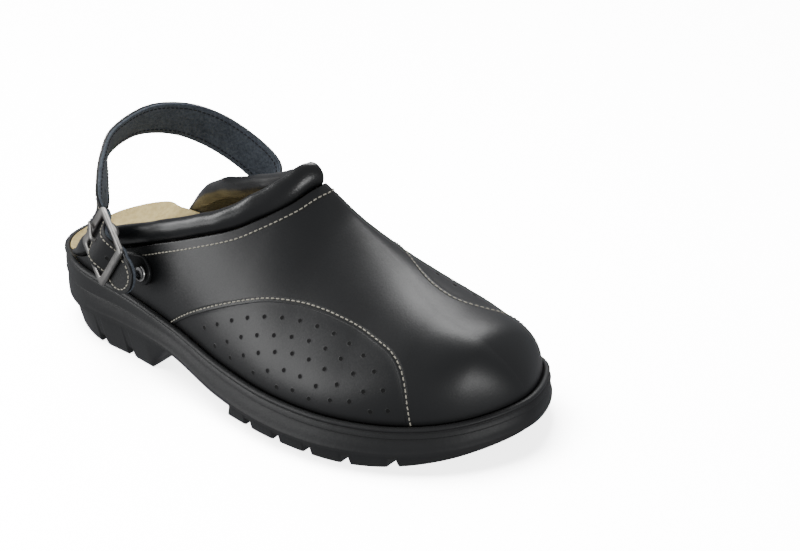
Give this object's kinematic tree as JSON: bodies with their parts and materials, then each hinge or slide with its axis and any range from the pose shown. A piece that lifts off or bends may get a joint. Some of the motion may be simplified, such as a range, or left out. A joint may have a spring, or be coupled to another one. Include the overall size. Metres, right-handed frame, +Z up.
{
  "type": "work slipper",
  "caption": "Closed-toe leather work slipper for the right foot, with a padded collar, a buckled heel strap, a felt footbed and a lugged one-piece sole.",
  "frame": {"origin": "middle of the slipper's length and width, on the floor", "axes": "+X towards the toe, +Y towards the inner side of the right foot, +Z up"},
  "size_m": [0.2848, 0.124, 0.1116],
  "materials": {
    "sole": "matt",
    "insole": "felt",
    "upper": "smooth, semi-gloss",
    "collar": "padded, gloss",
    "heel_strap": "smooth outside, suede inside",
    "buckle_tab": "smooth, semi-gloss",
    "buckle_frame": "dark nickel",
    "buckle_prong": "dark nickel",
    "rivet_outer": "polished",
    "rivet_inner": "polished"
  },
  "bodies": {
    "root": {"sole": "sole", "insole": "insole", "upper": "upper", "collar": "collar", "heel_strap": "heel_strap", "buckle_tab": "buckle_tab", "buckle_frame": "buckle_frame", "buckle_prong": "buckle_prong", "rivet_outer": "rivet_outer", "rivet_inner": "rivet_inner"}
  },
  "joints": []
}
